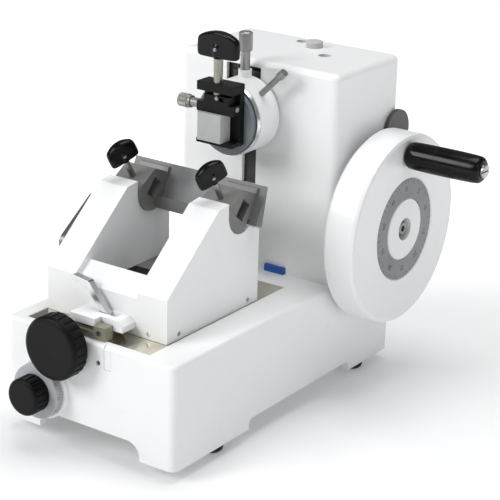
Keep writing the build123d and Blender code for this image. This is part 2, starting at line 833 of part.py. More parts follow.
def head_barrel():
    """White barrel with the trunnion's bore, the screw boss and a tail cavity."""
    at = (head_x, head_z)
    front, rear = barrel_y
    body = turned("y", at, [
        (front, 0), (front, barrel_r - 1), (front + 1, barrel_r), (rear - 1.5, barrel_r),
        (rear, barrel_r - 1.5), (rear, 0)])
    body += rod("z", (head_x, tilt_screw_y), tilt_boss_r, (head_z + cavity_r + 4, tilt_boss_top))
    body -= trunnion(run_gap, loose)
    body -= rod("y", at, neck_r + neck_gap, (front - 1, trunnion_y - trunnion_r / 2))
    body -= rod("y", at, cavity_r, (trunnion_y, tail_end + 2))
    body -= rod("z", (head_x, tilt_screw_y), tilt_tip_r + run_gap, (head_z, tilt_boss_top + 1))
    return body - lock_bar(lock_shank_r + run_gap, (trunnion_r + 1, barrel_r + 1))


def trunnion(gap, end_gap):
    """The cross pin that the disc tilts on, grown by gaps for its bore."""
    half = trunnion_l / 2 + end_gap
    return rod("x", (trunnion_y, head_z), trunnion_r + gap, (head_x - half, head_x + half))


def lock_bar(radius, reach):
    """A round bar that lies on the lock screw's radial line."""
    direction = (cos(radians(lock_angle)), 0, sin(radians(lock_angle)))
    start = (head_x + reach[0] * direction[0], lock_y, head_z + reach[0] * direction[2])
    return extrude(Plane(origin=start, z_dir=direction) * Circle(radius), reach[1] - reach[0])


def bevel_ring():
    """Polished ring around the tilting disc, on the barrel's front face."""
    inner = disc_r + 1.5
    return turned("y", (head_x, head_z), [
        (barrel_y[0], inner), (bevel_y, inner), (bevel_y, inner + 0.6),
        (barrel_y[0] - 0.6, barrel_r - 0.1), (barrel_y[0], barrel_r - 0.1)])


def swivel_disc():
    """Tilting disc, its neck and trunnion, and the tail that the screw moves."""
    at = (head_x, head_z)
    front, back = disc_y
    disc = turned("y", at, [
        (front, 0), (front, disc_r - 1), (front + 1, disc_r), (back, disc_r), (back, neck_r),
        (trunnion_y, neck_r), (trunnion_y, 0)])
    return disc + trunnion(0, 0) + rod("y", at, tail_r, (trunnion_y, tail_end))


def clamp_sides():
    return (clamp_x - clamp_w / 2, clamp_x + clamp_w / 2)


def clamp_frame():
    """Black C-frame: back plate on the disc, fixed lower jaw and top bridge."""
    x = clamp_sides()
    low, high = clamp_z
    side = polygon([
        (clamp_y, low), (clamp_back, low), (clamp_back, high), (clamp_y, high),
        (clamp_y, high - clamp_top_t), (clamp_back - clamp_back_t, high - clamp_top_t),
        (clamp_back - clamp_back_t, low + clamp_foot_t), (clamp_y, low + clamp_foot_t)])
    frame = along_x(side, x)
    frame -= rod("z", (head_x + 1, clamp_spindle_y), clamp_spindle_r + run_gap, (high - clamp_top_t - 1, high + 1))
    for z in clamp_screw_z():
        frame -= rod("y", (head_x, z), m5_r, (clamp_back - clamp_back_t - 1, clamp_back + 1))
        frame -= rod("y", (head_x, z), m5_head_r, (clamp_back - clamp_back_t - 1, clamp_back - clamp_back_t + 3))
    return frame


def clamp_screw_z():
    return (head_z - 10, head_z + 8)


def clamp_screws():
    """Two sunk screws that hold the frame to the disc."""
    screws = []
    floor = clamp_back - clamp_back_t
    for z in clamp_screw_z():
        screws.append(turned("y", (head_x, z), [
            (floor + 0.4, 0), (floor + 0.4, m5_head_r), (floor + 3, m5_head_r), (floor + 3, m5_r),
            (clamp_back, m5_r), (clamp_back, 0)]))
    return Compound(children=screws)


def specimen_block():
    """Specimen carrier gripped between the jaws."""
    left = clamp_sides()[0] + block_left
    z = (clamp_z[0] + clamp_foot_t, jaw_bottom - run_gap)
    body = block((left, left + block_w), (clamp_y - block_out, clamp_y + block_d), z)
    return chamfer(body.edges().filter_by(Axis.Z), 0.6)


def upper_jaw():
    """Moving jaw below the bridge, with its narrower neck and its screws."""
    x = clamp_sides()
    y = (clamp_y, clamp_back - clamp_back_t - run_gap)
    jaw = block(x, y, (jaw_bottom, jaw_bottom + jaw_h))
    neck_left = clamp_x - jaw_neck_w / 2
    top = jaw_bottom + jaw_h + jaw_neck_h
    jaw += block((neck_left, neck_left + jaw_neck_w + 4), y, (jaw_bottom + jaw_h - 1, top))
    jaw -= block((clamp_x + 5.5, clamp_x + 11), (clamp_y - 1, clamp_y + 3), (top - 5, top - 1))
    jaw -= rod("z", (head_x + 1, clamp_spindle_y), clamp_spindle_r + run_gap, (jaw_bottom + 6, top + 1))
    jaw -= rod("x", (side_y, side_z), side_stem_r + run_gap, (x[0] - 1, x[0] + 9))
    return jaw


def jaw_screws():
    """Slotted screws in the jaw's neck and in its right end."""
    z = jaw_bottom + jaw_h + jaw_neck_h - 2.4
    front = turned("y", (clamp_x + 2.6, z), [
        (clamp_y - 1.2, 0), (clamp_y - 1.2, 1.6), (clamp_y - 0.6, 2.3), (clamp_y, 2.3), (clamp_y, 0)])
    right = clamp_sides()[1]
    end = turned("x", (side_y, side_z + 1.2), [
        (right, 0), (right, 2.7), (right + 0.7, 2.7), (right + 1.2, 2.2), (right + 1.2, 0)])
    return Compound(children=[front, end])


def wing_outline(width, height):
    """A wing knob seen from the front: a flat foot, splayed sides and a crowned top."""
    half = width / 2
    crown = height * 0.18
    foot = 0.8
    sketch = make_face([
        Line((-half * foot, 0), (half * foot, 0)),
        Line((half * foot, 0), (half, height * 0.28)),
        Line((half, height * 0.28), (half * 0.95, height - crown)),
        ThreePointArc((half * 0.95, height - crown), (0, height), (-half * 0.95, height - crown)),
        Line((-half * 0.95, height - crown), (-half, height * 0.28)),
        Line((-half, height * 0.28), (-half * foot, 0)),
    ])
    return fillet(sketch.vertices().sort_by(Axis.Y)[2:], height * 0.07)


def wing_knob(width, height, thick, bore):
    """A winged thumb knob that stands on z = 0 around a blind bore."""
    wing = extrude(Plane.XZ.offset(-thick / 2) * wing_outline(width, height), thick)
    wing = fillet(wing.edges().filter_by(Plane.XZ), thick * 0.2)
    hub = turned("z", (0, 0), [
        (0, 0), (0, thick * 0.55), (height * 0.5, thick * 0.62), (height * 0.62, thick * 0.4),
        (height * 0.62, 0)])
    return (wing + hub) - rod("z", (0, 0), bore, (-1, height * 0.4))


def clamp_spindle():
    """Clamp screw: it turns in the jaw and lifts it below the bridge."""
    at = (head_x + 1, clamp_spindle_y)
    return rod("z", at, clamp_spindle_r, (jaw_bottom + 6 + run_gap, clamp_knob_z + clamp_knob_h * 0.4))


def clamp_wing_knob():
    knob = wing_knob(clamp_knob_w, clamp_knob_h, clamp_knob_t, clamp_spindle_r)
    return Pos(head_x + 1, clamp_spindle_y, clamp_knob_z) * knob


def side_screw():
    """Knurled screw that enters the jaw from its left."""
    end = side_x + side_head_l
    return turned("x", (side_y, side_z), [
        (side_x, 0), (side_x, side_r - 1), (side_x + 1, side_r), (end - 3, side_r), (end - 2, side_r - 0.8),
        (end, side_r - 0.8), (end, side_stem_r + 1.6), (clamp_sides()[0] - slide_gap, side_stem_r + 1.6),
        (clamp_sides()[0] - slide_gap, side_stem_r), (clamp_sides()[0] + 8, side_stem_r),
        (clamp_sides()[0] + 8, 0)])


def tilt_screw():
    """Knurled screw in the barrel's boss that presses on the disc's tail."""
    top = tilt_stem_top + tilt_head_h
    seat = tilt_boss_top + slide_gap
    return turned("z", (head_x, tilt_screw_y), [
        (head_z + tail_r + 1.2, 0), (head_z + tail_r + 1.2, tilt_tip_r), (seat, tilt_tip_r),
        (seat, tilt_stem_r), (tilt_stem_top, tilt_stem_r), (tilt_stem_top, tilt_head_r),
        (top - 1, tilt_head_r), (top, tilt_head_r - 1), (top, 0)])


def head_lock_screw():
    """Long-shanked screw that locks the disc's tilt, with a thicker end to hold."""
    start, end = lock_reach
    return lock_bar(lock_shank_r, (start, end)) + lock_bar(lock_tip_r, (end - lock_tip_l, end))


def cheek_profile():
    """A cheek seen from the right: knee, long slope, lip and cradle."""
    radius = holder_r + slide_gap
    lip_y0 = cradle_y - radius
    depth = 16.0
    out_y = cradle_y + (radius ** 2 - depth ** 2) ** 0.5
    bottom = cradle_z - radius
    front, rear = knife_y
    foot = bed_top + slide_gap
    return make_face([
        Line((front, foot), (front, cheek_knee_z)),
        Line((front, cheek_knee_z), (cheek_top_y, cheek_top_z)),
        Line((cheek_top_y, cheek_top_z), (lip_y0, cradle_lip_z)),
        Line((lip_y0, cradle_lip_z), (lip_y0, cradle_z)),
        ThreePointArc((lip_y0, cradle_z), (cradle_y, bottom), (out_y, cradle_z - depth)),
        Line((out_y, cradle_z - depth), (rear, heel_z)),
        Line((rear, heel_z), (rear, foot)),
        Line((rear, foot), (front, foot)),
    ])


def cheek_core():
    """The hollow below a cheek, open at its foot."""
    front, rear = knife_y
    foot = bed_top
    wall = cheek_wall
    low = cradle_z - holder_r - slide_gap - wall
    rise = (low - cheek_knee_z) * (cheek_top_y - knife_y[0]) / (cheek_top_z - cheek_knee_z)
    return polygon([
        (front + wall, foot), (front + wall, cheek_knee_z - wall),
        (front + rise + wall, low - wall / 2), (cradle_y, low - wall / 2),
        (rear - wall, heel_z - wall - 3), (rear - wall, foot)])


def knife_base_casting():
    """Saddle on the dovetail: two cheeks with cradles, joined by a low bridge."""
    front, rear = knife_y
    foot = bed_top + slide_gap
    left, right = knife_x
    body = along_x(polygon([
        (front, foot), (front, lip_front_z), (lip_y, lip_z), (lip_y + 4, lip_z - 2),
        (lip_y + 4, bridge_z), (rear, bridge_z), (rear, foot)]), (left + 5, right - 5))
    for x in ((left, left + cheek_w), (right - cheek_w, right)):
        body += along_x(cheek_profile(), x)
    body = fillet(knee_edges(body), 3)
    for x in ((left, left + cheek_w), (right - cheek_w, right)):
        body -= along_x(cheek_core(), (x[0] + cheek_wall, x[1] - cheek_wall))
    groove_y = (front - 1, rear + 1)
    body -= along_y(dovetail(slide_gap), groove_y)
    for x, y in side_screw_spots():
        body -= rod("x", (y, bed_top + 5.5), m5_r, (x - 9, x + 1))
    for x, z in front_screw_spots():
        body -= rod("y", (x, z), m5_r, (front - 1, front + 7))
    return body - rod("x", tilt_pivot(), tilt_pin_r + run_gap, (left - 1, left + cheek_wall + 1))


def knee_edges(body):
    """Edges along X where the cheeks' front and slope meet."""
    picked = []
    for edge in body.edges().filter_by(Axis.X):
        centre = edge.center()
        if abs(centre.Z - cheek_knee_z) < 0.1 or abs(centre.Z - cheek_top_z) < 0.1:
            picked.append(edge)
    return picked


def side_screw_spots():
    return [(knife_x[1], knife_y[0] + 17.7), (knife_x[1], knife_y[1] - 15.8)]


def front_screw_spots():
    return [(knife_x[1] - 21.1, bed_top + 5.5)]


def knife_base_screws():
    """Gib and locking screws that end just under the casting's faces."""
    screws = []
    for x, y in side_screw_spots():
        screws.append(rod("x", (y, bed_top + 5.5), m5_r, (x - 8, x - 1)))
    for x, z in front_screw_spots():
        screws.append(rod("y", (x, z), m5_r, (knife_y[0] + 0.8, knife_y[0] + 6)))
    return Compound(children=screws)


def clamp_tongue():
    """White block in front of the saddle that clamps it to the rail."""
    left, right = tongue_x
    low, high = tongue_z
    front, rear = tongue_y, knife_y[0]
    step = rail_y[0] + loose
    outline = polygon([
        (left, front), (tongue_step_x, front), (tongue_step_x, step), (right, step),
        (right, rear), (left, rear)])
    body = Pos(0, 0, low) * extrude(outline, high - low)
    corner = [e for e in body.edges().filter_by(Axis.Y) if e.center().X > right - 1 and e.center().Z > high - 1]
    body = chamfer(corner, tongue_chamfer)
    channel = (rail_x - rail_top_w / 2 - loose, rail_x + rail_top_w / 2 + loose)
    body -= block(channel, (front - 1, rear + 1), (low - 1, rail_top + slide_gap))
    body -= block(lever_slot_x, lever_slot_y, (lever_slot_z, high + 1))
    return body - rod("y", lever_pivot, lever_pin_r, (step - 1, rear + 1))


def lever_pin():
    return rod("y", lever_pivot, lever_pin_r, (lever_slot_y[0] - 4, knife_y[0]))


def base_clamp_lever():
    """Bent flat lever on the pin, its end curled over for the thumb."""
    hub = Pos(*lever_pivot) * Circle(lever_hub_r)
    arm = bar(lever_pivot, lever_knee, lever_w)
    tip = bar(lever_knee, lever_tip, lever_w)
    y = (lever_slot_y[0] + slide_gap, lever_slot_y[1] - slide_gap)
    lever = along_y(hub + arm, (y[0] + 0.5, y[1] - 0.5))
    lever += along_y(tip, (y[0] + 0.5, y[1] - 0.5))
    return lever - rod("y", lever_pivot, lever_pin_r + run_gap, (y[0] - 1, y[1] + 1))


def on_face(along, out):
    """A point given by its distance down the knife's front face and out of it."""
    angle = radians(face_angle)
    return (edge_y - along * cos(angle) - out * sin(angle), edge_z - along * sin(angle) + out * cos(angle))


def knife():
    """Wedge-shaped steel blade with its edge at the top."""
    rear = radians(face_angle + knife_angle)
    heel = (edge_y - knife_h * cos(rear), edge_z - knife_h * sin(rear))
    tip = (edge_y + 0.2, edge_z - 0.1)
    return along_x(polygon([on_face(0, 0), on_face(knife_h, 0), heel, tip]), blade_x)


def pressure_plate():
    """Two clamp plates, one in each end of the holder, that press on the blade."""
    outline = polygon([
        on_face(plate_drop, run_gap), on_face(plate_drop + plate_h, run_gap),
        on_face(plate_drop + plate_h, plate_t), on_face(plate_drop + 1.5, plate_t)])
    return Compound(children=[along_x(outline, span) for span in segment_spans()])


def segment_spans():
    left, right = segment_x
    width = right - left
    return [(left, right), (knife_x[0] + knife_x[1] - left - width, knife_x[0] + knife_x[1] - left)]


def holder_segment_profile():
    """One end of the holder: a D that rocks in the cradle, with a saddle on top."""
    disc = Pos(cradle_y, cradle_z) * Circle(holder_r)
    slope = radians(segment_slope)
    y0, z0 = segment_flat
    far = 60.0
    above = polygon([
        (y0 - far * cos(slope), z0 - far * sin(slope)), (y0, z0), (y0 + 4, z0 + 1.5),
        on_face(plate_drop + 6, plate_t + run_gap), (cradle_y + far, cradle_z + far),
        (cradle_y - far, cradle_z + far)])
    saddle = polygon([
        (cradle_y, cradle_z), (y0, z0), (y0 + 4, z0 + 1.5), on_face(plate_drop + 6, plate_t + run_gap),
        on_face(plate_drop + plate_h - 3, plate_t + run_gap)])
    behind = polygon([
        on_face(-40, plate_t + run_gap), on_face(80, plate_t + run_gap), on_face(80, -60), on_face(-40, -60)])
    return (disc - above) + saddle - behind


def knife_holder():
    """Two round ends joined by the bar that the blade's heel stands on."""
    body = None
    for span in segment_spans():
        piece = along_x(holder_segment_profile(), span)
        body = piece if body is None else body + piece
    window = Pos(*window_at) * Rot(0, 0, window_angle) * Rectangle(window_l, window_w)
    for left, right in segment_spans():
        body -= along_x(window, (left - 1, right + 1))
    inner = (knife_x[0] + cheek_w + slide_gap, knife_x[1] - cheek_w - slide_gap)
    rear = radians(face_angle + knife_angle)
    heel = (edge_y - knife_h * cos(rear), edge_z - knife_h * sin(rear))
    face_foot = on_face(knife_h, 0)
    shelf = polygon([
        on_face(plate_drop + plate_h + 0.5, plate_t + 7), on_face(plate_drop + plate_h + 0.5, plate_t - 2.5),
        (face_foot[0], face_foot[1]), heel, (heel[0] + 2.2, heel[1] - 0.5), (heel[0] + 1.5, heel[1] - 6),
        (face_foot[0] - 7, face_foot[1] - 4)])
    body += along_x(shelf, inner)
    for side in (0, 1):
        body -= wing_place(side) * rod("z", (0, 0), wing_stem_r + run_gap, (-wing_stem_in - 1, 1))
    return body


def wing_place(side):
    """Where a wing screw stands: square to the holder's sloped top."""
    left, right = knife_x
    x = left + wing_inset if side == 0 else right - wing_inset
    slope = radians(segment_slope)
    y0, z0 = segment_flat
    origin = (x, y0 - wing_seat * cos(slope), z0 - wing_seat * sin(slope))
    normal = (0, -sin(slope), cos(slope))
    return Location(Plane(origin=origin, x_dir=(1, 0, 0), z_dir=normal))


def wing_screw(side):
    """Clamp screw with its wing knob, one for each end of the blade."""
    stem = rod("z", (0, 0), wing_stem_r, (-wing_stem_in, wing_stem_l))
    knob = wing_knob(wing_w, wing_h, wing_t, wing_stem_r)
    placed = wing_place(side) * Rot(0, 0, wing_turn)
    lift = Pos(0, 0, wing_stem_l - wing_h * 0.4)
    return Compound(children=[placed * stem, placed * lift * knob])


def tilt_pivot():
    return (cradle_y - tilt_pivot_back, cradle_z - tilt_pivot_drop)


def tilt_lock_lever():
    """Flat lever outside the left cheek that locks the holder's tilt."""
    x = tilt_lever_x
    lever = along_x(bar(tilt_pivot(), tilt_lever_end, tilt_lever_w), x)
    pin = turned("x", tilt_pivot(), [
        (x[0] - 1.5, 0), (x[0] - 1.5, 4), (x[0], 5), (x[0], tilt_pin_r), (knife_x[0] + cheek_wall, tilt_pin_r),
        (knife_x[0] + cheek_wall, 0)])
    return lever + pin


pieces = {
    "base_casting": base_casting, "bed_plate": bed_plate, "dovetail_rail": dovetail_rail,
    "rail_stop": rail_stop, "base_screws": base_screws, "rubber_feet": rubber_feet,
    "front_key": front_key, "housing_cover": housing_cover, "seam_tab": seam_tab,
    "oil_cap": oil_cap, "guide_column": guide_column, "bearing_pedestal": bearing_pedestal,
    "shaft_bearings": shaft_bearings, "index_ring": index_ring, "lock_stud": lock_stud,
    "handwheel": handwheel, "wheel_dial": wheel_dial, "hub_screw": hub_screw,
    "main_shaft": main_shaft, "crank_disc": crank_disc, "slider_block": slider_block,
    "handle_spindle": handle_spindle, "handle_grip": handle_grip,
    "wheel_lock_lever": wheel_lock_lever, "vertical_carriage": vertical_carriage,
    "gib_strips": gib_strips, "yoke_plate": yoke_plate, "feed_ram": feed_ram,
    "feed_nut": feed_nut, "feed_screw": feed_screw, "ratchet_wheel": ratchet_wheel,
    "coarse_knob": coarse_knob, "coarse_shaft": coarse_shaft, "thickness_knob": thickness_knob,
    "thickness_drum": thickness_drum, "thickness_shaft": thickness_shaft,
    "head_barrel": head_barrel, "bevel_ring": bevel_ring, "swivel_disc": swivel_disc,
    "clamp_frame": clamp_frame, "clamp_screws": clamp_screws, "specimen_block": specimen_block,
    "upper_jaw": upper_jaw, "jaw_screws": jaw_screws, "clamp_spindle": clamp_spindle,
    "clamp_wing_knob": clamp_wing_knob, "side_screw": side_screw, "tilt_screw": tilt_screw,
    "head_lock_screw": head_lock_screw, "knife_base_casting": knife_base_casting,
    "knife_base_screws": knife_base_screws, "clamp_tongue": clamp_tongue,
    "lever_pin": lever_pin, "base_clamp_lever": base_clamp_lever, "knife": knife,
    "pressure_plate": pressure_plate, "knife_holder": knife_holder,
    "knife_wing_screw_left": lambda: wing_screw(0), "knife_wing_screw_right": lambda: wing_screw(1),
    "tilt_lock_lever": tilt_lock_lever,
}

handle_end = wheel_x[1] + 2 * slide_gap + grip_l + spindle_head_h
rearmost = wheel_y + wheel_r
origin = Pos(-handle_end / 2, -(thick_knob_y[0] + rearmost) / 2, foot_h)
for name, make in pieces.items():
    export_step(origin * make(), f"parts/{name}.step")
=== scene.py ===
import json
import math

import bmesh
import bpy
from mathutils import Matrix, Vector


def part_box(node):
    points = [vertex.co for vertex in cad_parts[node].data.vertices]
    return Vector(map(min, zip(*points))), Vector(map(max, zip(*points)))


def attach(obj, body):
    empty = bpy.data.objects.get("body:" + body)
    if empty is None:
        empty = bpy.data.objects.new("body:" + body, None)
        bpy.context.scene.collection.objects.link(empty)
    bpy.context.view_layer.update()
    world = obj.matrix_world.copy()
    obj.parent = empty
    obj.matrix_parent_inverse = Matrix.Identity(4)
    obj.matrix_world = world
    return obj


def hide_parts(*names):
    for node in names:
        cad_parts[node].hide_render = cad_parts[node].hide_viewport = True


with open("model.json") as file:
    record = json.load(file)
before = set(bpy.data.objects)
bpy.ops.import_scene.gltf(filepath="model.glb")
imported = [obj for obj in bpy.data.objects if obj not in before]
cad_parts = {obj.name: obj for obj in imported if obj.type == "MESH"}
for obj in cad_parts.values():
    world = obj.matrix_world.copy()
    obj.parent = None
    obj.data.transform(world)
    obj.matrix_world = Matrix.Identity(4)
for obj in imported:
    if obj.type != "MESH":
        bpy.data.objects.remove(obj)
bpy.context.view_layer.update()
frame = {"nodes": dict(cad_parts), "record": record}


# Table top and daylight.
# The machine stands on a plain white bench in a bright, soft studio.  The bench glows, a painted
# light that is faint under the machine and stronger further out, so that light also comes from
# below.
class Wire:
    """A node's output that sums and products can be written with."""

    def __init__(self, tree, socket):
        self.tree = tree
        self.socket = socket

    def add(self, kind, settings, sockets, out=0):
        """A new node of this kind: settings first, then the values or links of its sockets."""
        node = self.tree.nodes.new(kind)
        for name, value in settings.items():
            setattr(node, name, value)
        for name, value in sockets.items():
            if isinstance(value, Wire):
                self.tree.links.new(value.socket, node.inputs[name])
            else:
                node.inputs[name].default_value = value
        return Wire(self.tree, node.outputs[out] if node.outputs else None)

    def reckon(self, operation, *values):
        return self.add("ShaderNodeMath", {"operation": operation}, dict(enumerate(values)))

    def __add__(self, other):
        return self.reckon("ADD", self, other)

    def __sub__(self, other):
        return self.reckon("SUBTRACT", self, other)

    def __rsub__(self, other):
        return self.reckon("SUBTRACT", other, self)

    def __mul__(self, other):
        return self.reckon("MULTIPLY", self, other)

    def __truediv__(self, other):
        return self.reckon("DIVIDE", self, other)

    __radd__ = __add__
    __rmul__ = __mul__

    def step(self, low, high):
        """0 below low, 1 above high, and smooth between them."""
        return self.add("ShaderNodeMapRange", {"interpolation_type": "SMOOTHSTEP"},
                        {"Value": self, "From Min": low, "From Max": high})

    def noise(self, scale, detail=3.0, stretch=(1, 1, 1)):
        place = self.add("ShaderNodeMapping", {}, {"Vector": self, "Scale": stretch})
        return place.add("ShaderNodeTexNoise", {},
                         {"Vector": place, "Scale": scale, "Detail": detail})

    def blend(self, low, high):
        """A colour between two others, by this number."""
        return self.add("ShaderNodeMix", {"data_type": "RGBA"}, {0: self, 6: low, 7: high}, out=2)


def colour(red, green, blue):
    """An sRGB colour, 0 to 255, as the shader wants it."""
    parts = [part / 255 for part in (red, green, blue)]
    return (*(part / 12.92 if part < 0.04045 else ((part + 0.055) / 1.055) ** 2.4
              for part in parts), 1.0)


def grey(level):
    """A neutral glow of this strength."""
    return (level, level, level, 1)


def begin_finish(name, metallic=0.0, coat=0.0):
    """A new material, its shader and a wire that carries the object's coordinates."""
    material = bpy.data.materials.new(name)
    material.use_nodes = True
    tree = material.node_tree
    shader = tree.nodes["Principled BSDF"]
    shader.inputs["Metallic"].default_value = metallic
    shader.inputs["Coat Weight"].default_value = coat
    return material, shader, Wire(tree, None).add("ShaderNodeTexCoord", {}, {}, out=3)


def finish_with(shader, hue, roughness, height, depth):
    """Links a colour, a roughness and a relief of this depth to the shader."""
    tree = hue.tree
    tree.links.new(hue.socket, shader.inputs["Base Color"])
    tree.links.new(roughness.socket, shader.inputs["Roughness"])
    relief = hue.add("ShaderNodeBump", {},
                     {"Strength": 1.0, "Distance": depth, "Height": height})
    tree.links.new(relief.socket, shader.inputs["Normal"])


def put(name, data):
    """A new object of this mesh, lamp or camera, in the scene."""
    thing = bpy.data.objects.new(name, data)
    bpy.context.collection.objects.link(thing)
    return thing


bench_reach = 9
glow_near, glow_far = 0.2, 0.75
glow_under, glow_around = 0.16, 0.52
bench = bpy.data.meshes.new("bench")
bench.from_pydata([(x * bench_reach, y * bench_reach, 0)
                   for x, y in ((-1, -1), (1, -1), (1, 1), (-1, 1))], [], [(0, 1, 2, 3)])
put("bench_top", bench)
white, shader, place = begin_finish("white_sweep")
finish_with(shader, place.noise(3).blend(colour(234, 235, 236), colour(239, 240, 240)),
            place.noise(2) * 0.1 + 0.7, place.noise(300), 0.00002)
away = place.add("ShaderNodeVectorMath", {"operation": "LENGTH"}, {0: place}, out=1)
# Painted light: the bench's glow is faint under the machine and grows stronger further out.
glow = away.step(glow_near, glow_far).blend(grey(glow_under), grey(glow_around))
glow.tree.links.new(glow.socket, shader.inputs["Emission Color"])
shader.inputs["Emission Strength"].default_value = 1.0
bench.materials.append(white)

world = bpy.data.worlds.new("studio")
bpy.context.scene.world = world
world.use_nodes = True
sky = world.node_tree.nodes["Background"]
sky.inputs["Color"].default_value = (0.97, 0.985, 1.0, 1)
sky.inputs["Strength"].default_value = 0.22
lit_point = Vector((0, 0, 0.15))
for name, spot, width, power in (
    ("key", (-2.3, -3.9, 2.9), 2.4, 144),
    ("overhead", (0.1, 0.3, 2.6), 1.8, 38),
    ("right_fill", (2.4, -0.5, 1.5), 1.0, 5),
):
    lamp = bpy.data.lights.new(name, "AREA")
    lamp.size = width
    lamp.energy = power
    light = put(name, lamp)
    light.location = spot
    light.rotation_euler = (lit_point - Vector(spot)).to_track_quat("-Z", "Y").to_euler()

# The camera's place, turn and lens come from the object's edges and circles in the picture.
camera_at = (0.8844, -1.29265, 0.7391)
yaw, pitch, roll = (math.radians(angle) for angle in (34.98, 20.22, 1.46))
lens = 124.98
ahead = Vector((-math.sin(yaw) * math.cos(pitch), math.cos(yaw) * math.cos(pitch),
                -math.sin(pitch)))
level = Vector((math.cos(yaw), math.sin(yaw), 0))
upward = level.cross(ahead)
across = math.cos(roll) * level + math.sin(roll) * upward
upward = math.cos(roll) * upward - math.sin(roll) * level
camera = put("camera", bpy.data.cameras.new("camera"))
camera.data.sensor_width = 36
camera.data.lens = lens
camera.matrix_world = Matrix.Translation(camera_at) @ Matrix(
    (across, upward, -ahead)).transposed().to_4x4()
bpy.context.scene.camera = camera
bpy.context.scene.view_settings.view_transform = "Standard"


# Castings in white enamel.
# The base is an open-bottomed iron casting on four legs.  It and the other castings are
# sprayed with a satin white enamel, which has a faint orange peel and a little handling grime.
def enamel(name, tint, shade, gloss=0.34):
    material, shader, place = begin_finish(name, coat=0.25)
    shader.inputs["Coat Roughness"].default_value = 0.18
    clouds = place.noise(9, 4)
    grime = place.noise(46, 5).step(0.60, 0.82) * 0.5
    hue = (clouds * 0.5 + grime).blend(tint, shade)
    orange_peel = place.noise(520, 2) + clouds * 0.6
    finish_with(shader, hue, clouds * 0.14 + grime * 0.2 + gloss, orange_peel, 0.00005)
    return material


def dress(material, *nodes):
    """CAD nodes that keep their own mesh get this material."""
    for node in nodes:
        for holder in frame["nodes"][node].material_slots:
            holder.material = material


dress(enamel("white_enamel", colour(247, 248, 248), colour(238, 239, 240)),
      "base_casting", "housing_cover", "handwheel", "head_barrel", "knife_base_casting",
      "clamp_tongue", "index_ring", "front_key")


# Rubber feet.
# Four moulded rubber feet, each screwed into a boss under a leg.  Each has a groove round
# its middle and a worn, dusty lower edge.
def softened(points, radius, steps=4):
    """The same outline with its inner corners rounded."""
    most_of_a_side = 0.45
    made = [points[0]]
    for before, corner, after in zip(points, points[1:], points[2:]):
        corner_at = Vector(corner)
        back = Vector(before) - corner_at
        on = Vector(after) - corner_at
        reach = min(radius, back.length * most_of_a_side, on.length * most_of_a_side)
        start = corner_at + back.normalized() * reach
        end = corner_at + on.normalized() * reach
        for step in range(steps + 1):
            share = step / steps
            made.append(tuple(start.lerp(corner_at, share).lerp(corner_at.lerp(end, share), share)))
    return made + [points[-1]]


def finely(points, pitch):
    """The same outline with points no further apart than pitch."""
    made = [points[0]]
    for start, end in zip(points, points[1:]):
        run = (Vector(end) - Vector(start)).length
        count = max(1, math.ceil(run / pitch))
        for step in range(1, count + 1):
            made.append(tuple(Vector(start).lerp(Vector(end), step / count)))
    return made


def plan(name, **sizes):
    """A geometry tree with a named input for each size, and the wires that carry them."""
    tree = bpy.data.node_groups.new(name, "GeometryNodeTree")
    faces = tree.interface
    faces.new_socket("Geometry", in_out="OUTPUT", socket_type="NodeSocketGeometry")
    faces.new_socket("Geometry", in_out="INPUT", socket_type="NodeSocketGeometry")
    for size, value in sizes.items():
        kind = "NodeSocketInt" if isinstance(value, int) else "NodeSocketFloat"
        faces.new_socket(size, in_out="INPUT", socket_type=kind).default_value = value
    faces.new_socket("Finish", in_out="INPUT", socket_type="NodeSocketMaterial")
    start = tree.nodes.new("NodeGroupInput")
    return tree, {socket.name: Wire(tree, socket) for socket in start.outputs if socket.name}


def close_plan(tree, wires, geometry):
    """Ends a geometry tree: instances become real and get their finish."""
    real = geometry.add("GeometryNodeRealizeInstances", {}, {"Geometry": geometry})
    painted = real.add("GeometryNodeSetMaterial", {},
                       {"Geometry": real, "Material": wires["Finish"]})
    end = tree.nodes.new("NodeGroupOutput")
    tree.links.new(painted.socket, end.inputs[0])


def settled(piece):
    """The piece's mesh as its modifiers leave it, as plain data."""
    scene_now = bpy.context.evaluated_depsgraph_get()
    return bpy.data.meshes.new_from_object(piece.evaluated_get(scene_now))


def make_from(tree, name, material, outline=(), place=Matrix(), **sizes):
    """Runs a geometry tree on an outline, and returns a plain object in its place."""
    sharp_from = math.radians(38)
    mesh = bpy.data.meshes.new(name)
    mesh.from_pydata([(*point, 0) for point in outline],
                     [(i, i + 1) for i in range(len(outline) - 1)], [])
    piece = put(name, mesh)
    modifier = piece.modifiers.new("plan", "NODES")
    modifier.node_group = tree
    sizes["Finish"] = material
    for socket in tree.interface.items_tree:
        if socket.in_out == "INPUT" and socket.name in sizes:
            modifier[socket.identifier] = sizes[socket.name]
    made = settled(piece)
    piece.modifiers.clear()
    piece.data = made
    made.name = name
    made.transform(place)
    if place.determinant() < 0:
        made.flip_normals()
    made.shade_smooth()
    made.set_sharp_from_angle(angle=sharp_from)
    return piece


